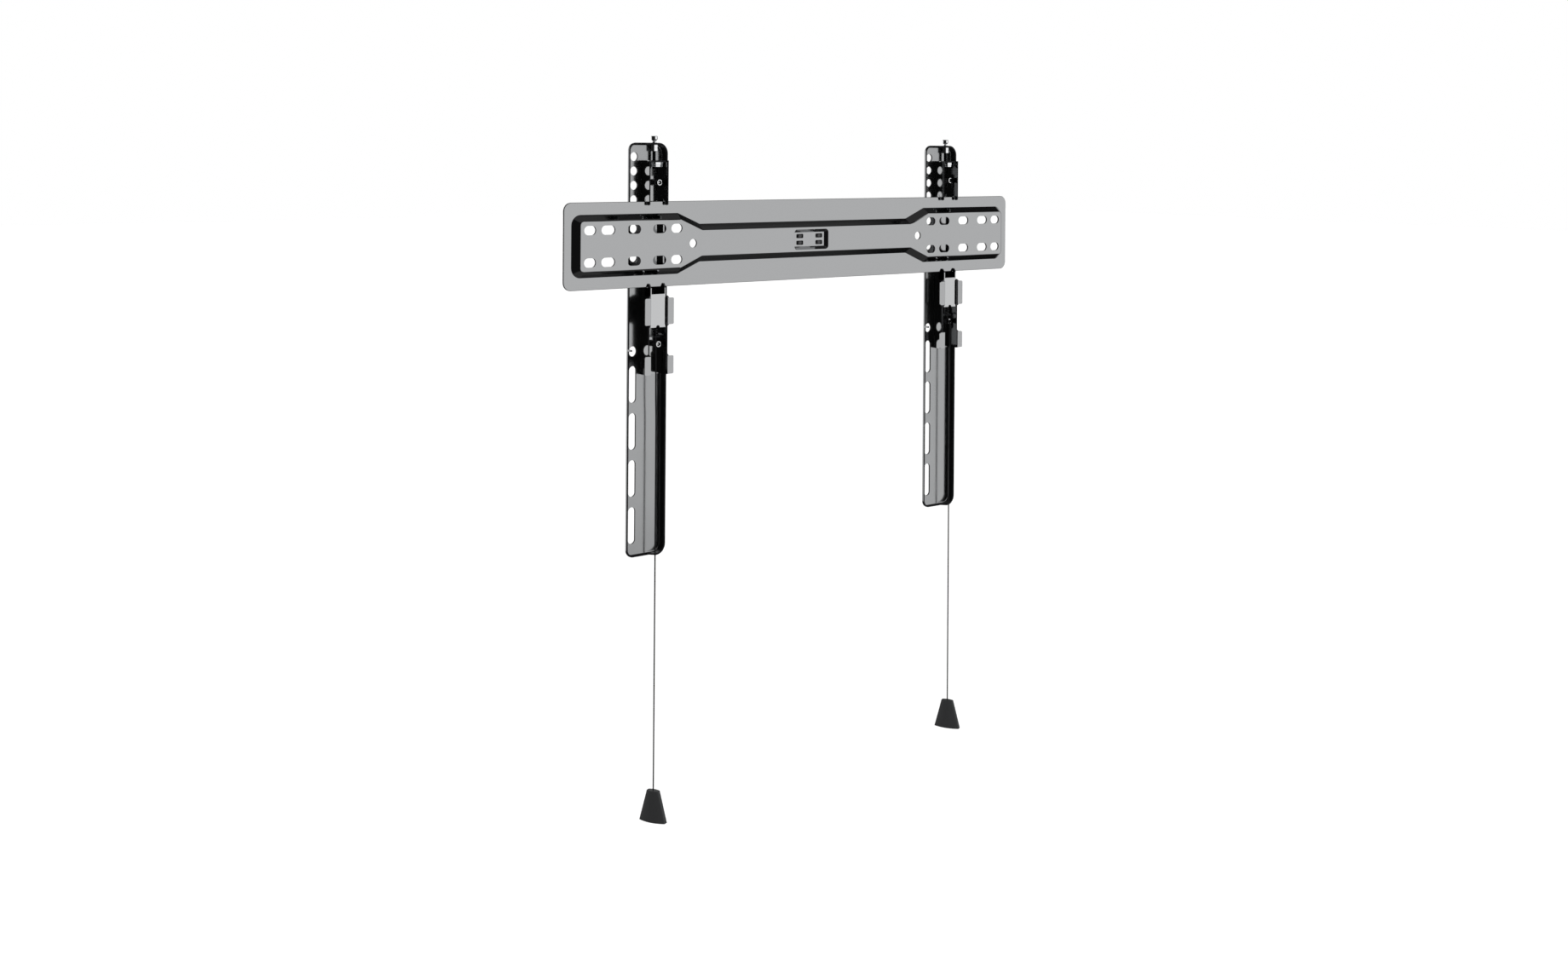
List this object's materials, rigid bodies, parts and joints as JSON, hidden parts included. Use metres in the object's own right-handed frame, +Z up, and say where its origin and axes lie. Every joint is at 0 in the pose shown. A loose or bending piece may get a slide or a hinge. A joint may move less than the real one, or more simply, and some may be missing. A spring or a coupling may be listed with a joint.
{
  "type": "tv wall mount",
  "caption": "Low-profile wall mount for a flat screen: a stamped wall plate with hook-on arms, each with a levelling screw and a cord-released spring latch.",
  "frame": {"origin": "centre of the wall plate's slot pattern, on the wall plane", "axes": "+X along the wall plate, +Y towards the wall, +Z up; the screen hangs on the -Y side"},
  "size_m": [0.645, 0.0287, 0.7302],
  "materials": {
    "black_plate": "gloss black",
    "black_arm": "gloss black",
    "black_carrier": "gloss black",
    "black_latch": "gloss black",
    "black_screw": "black oxide",
    "zinc_steel": "bright zinc",
    "spring_steel": "drawn wire",
    "bush_plastic": "moulded",
    "level_plastic": "moulded",
    "level_glass": "clear, with liquid",
    "cord_fabric": "braided",
    "grip_plastic": "moulded, fine texture"
  },
  "bodies": {
    "wall": {"wall_plate": "black_plate", "level_holder": "level_plastic", "level_vial": "level_glass"},
    "right_carrier": {"right_hook_carrier": "black_carrier", "right_lifting_nut": "zinc_steel", "right_nut_washer": "zinc_steel", "right_latch_pin": "zinc_steel", "right_latch_spring": "spring_steel"},
    "right_arm": {"right_tv_arm": "black_arm", "right_upper_guide_stud": "zinc_steel", "right_lower_guide_stud": "zinc_steel", "right_upper_guide_bush": "bush_plastic", "right_lower_guide_bush": "bush_plastic"},
    "right_screw": {"right_levelling_screw": "black_screw", "right_upper_lock_nut": "zinc_steel", "right_lower_lock_nut": "zinc_steel"},
    "right_latch": {"right_latch": "black_latch", "right_cord_ferrule": "zinc_steel", "right_pull_cord": "cord_fabric", "right_pull_grip": "grip_plastic"},
    "left_carrier": {"left_hook_carrier": "black_carrier", "left_lifting_nut": "zinc_steel", "left_nut_washer": "zinc_steel", "left_latch_pin": "zinc_steel", "left_latch_spring": "spring_steel"},
    "left_arm": {"left_tv_arm": "black_arm", "left_upper_guide_stud": "zinc_steel", "left_lower_guide_stud": "zinc_steel", "left_upper_guide_bush": "bush_plastic", "left_lower_guide_bush": "bush_plastic"},
    "left_screw": {"left_levelling_screw": "black_screw", "left_upper_lock_nut": "zinc_steel", "left_lower_lock_nut": "zinc_steel"},
    "left_latch": {"left_latch": "black_latch", "left_cord_ferrule": "zinc_steel", "left_pull_cord": "cord_fabric", "left_pull_grip": "grip_plastic"}
  },
  "joints": [
    {"name": "right_arm_shift", "type": "slide", "parent": "wall", "child": "right_carrier", "axis": [1, 0, 0], "range_m": [-0.13, 0.07]},
    {"name": "right_arm_height", "type": "slide", "parent": "right_carrier", "child": "right_arm", "axis": [0, 0, 1], "range_m": [-0.008, 0.002]},
    {"name": "right_screw_turn", "type": "hinge", "parent": "right_arm", "child": "right_screw", "pos_m": [0.2075, -0.0137, 0.1], "axis": [0, 0, 1], "range_deg": [-4140, 1040]},
    {"name": "right_latch_pull", "type": "slide", "parent": "right_carrier", "child": "right_latch", "axis": [0, 0, -1], "range_m": [0, 0.0055], "stiffness_N_per_m": 400, "springref_m": -0.012, "deforming": ["right_latch_spring"]},
    {"name": "left_arm_shift", "type": "slide", "parent": "wall", "child": "left_carrier", "axis": [1, 0, 0], "range_m": [-0.07, 0.13]},
    {"name": "left_arm_height", "type": "slide", "parent": "left_carrier", "child": "left_arm", "axis": [0, 0, 1], "range_m": [-0.008, 0.002]},
    {"name": "left_screw_turn", "type": "hinge", "parent": "left_arm", "child": "left_screw", "pos_m": [-0.2225, -0.0137, 0.1], "axis": [0, 0, 1], "range_deg": [-4140, 1040]},
    {"name": "left_latch_pull", "type": "slide", "parent": "left_carrier", "child": "left_latch", "axis": [0, 0, -1], "range_m": [0, 0.0055], "stiffness_N_per_m": 400, "springref_m": -0.012, "deforming": ["left_latch_spring"]}
  ],
  "couplings": [
    {"joint": "right_screw_turn", "follows": "right_arm_height", "rad_per_m": 8976},
    {"joint": "left_screw_turn", "follows": "left_arm_height", "rad_per_m": 8976}
  ]
}
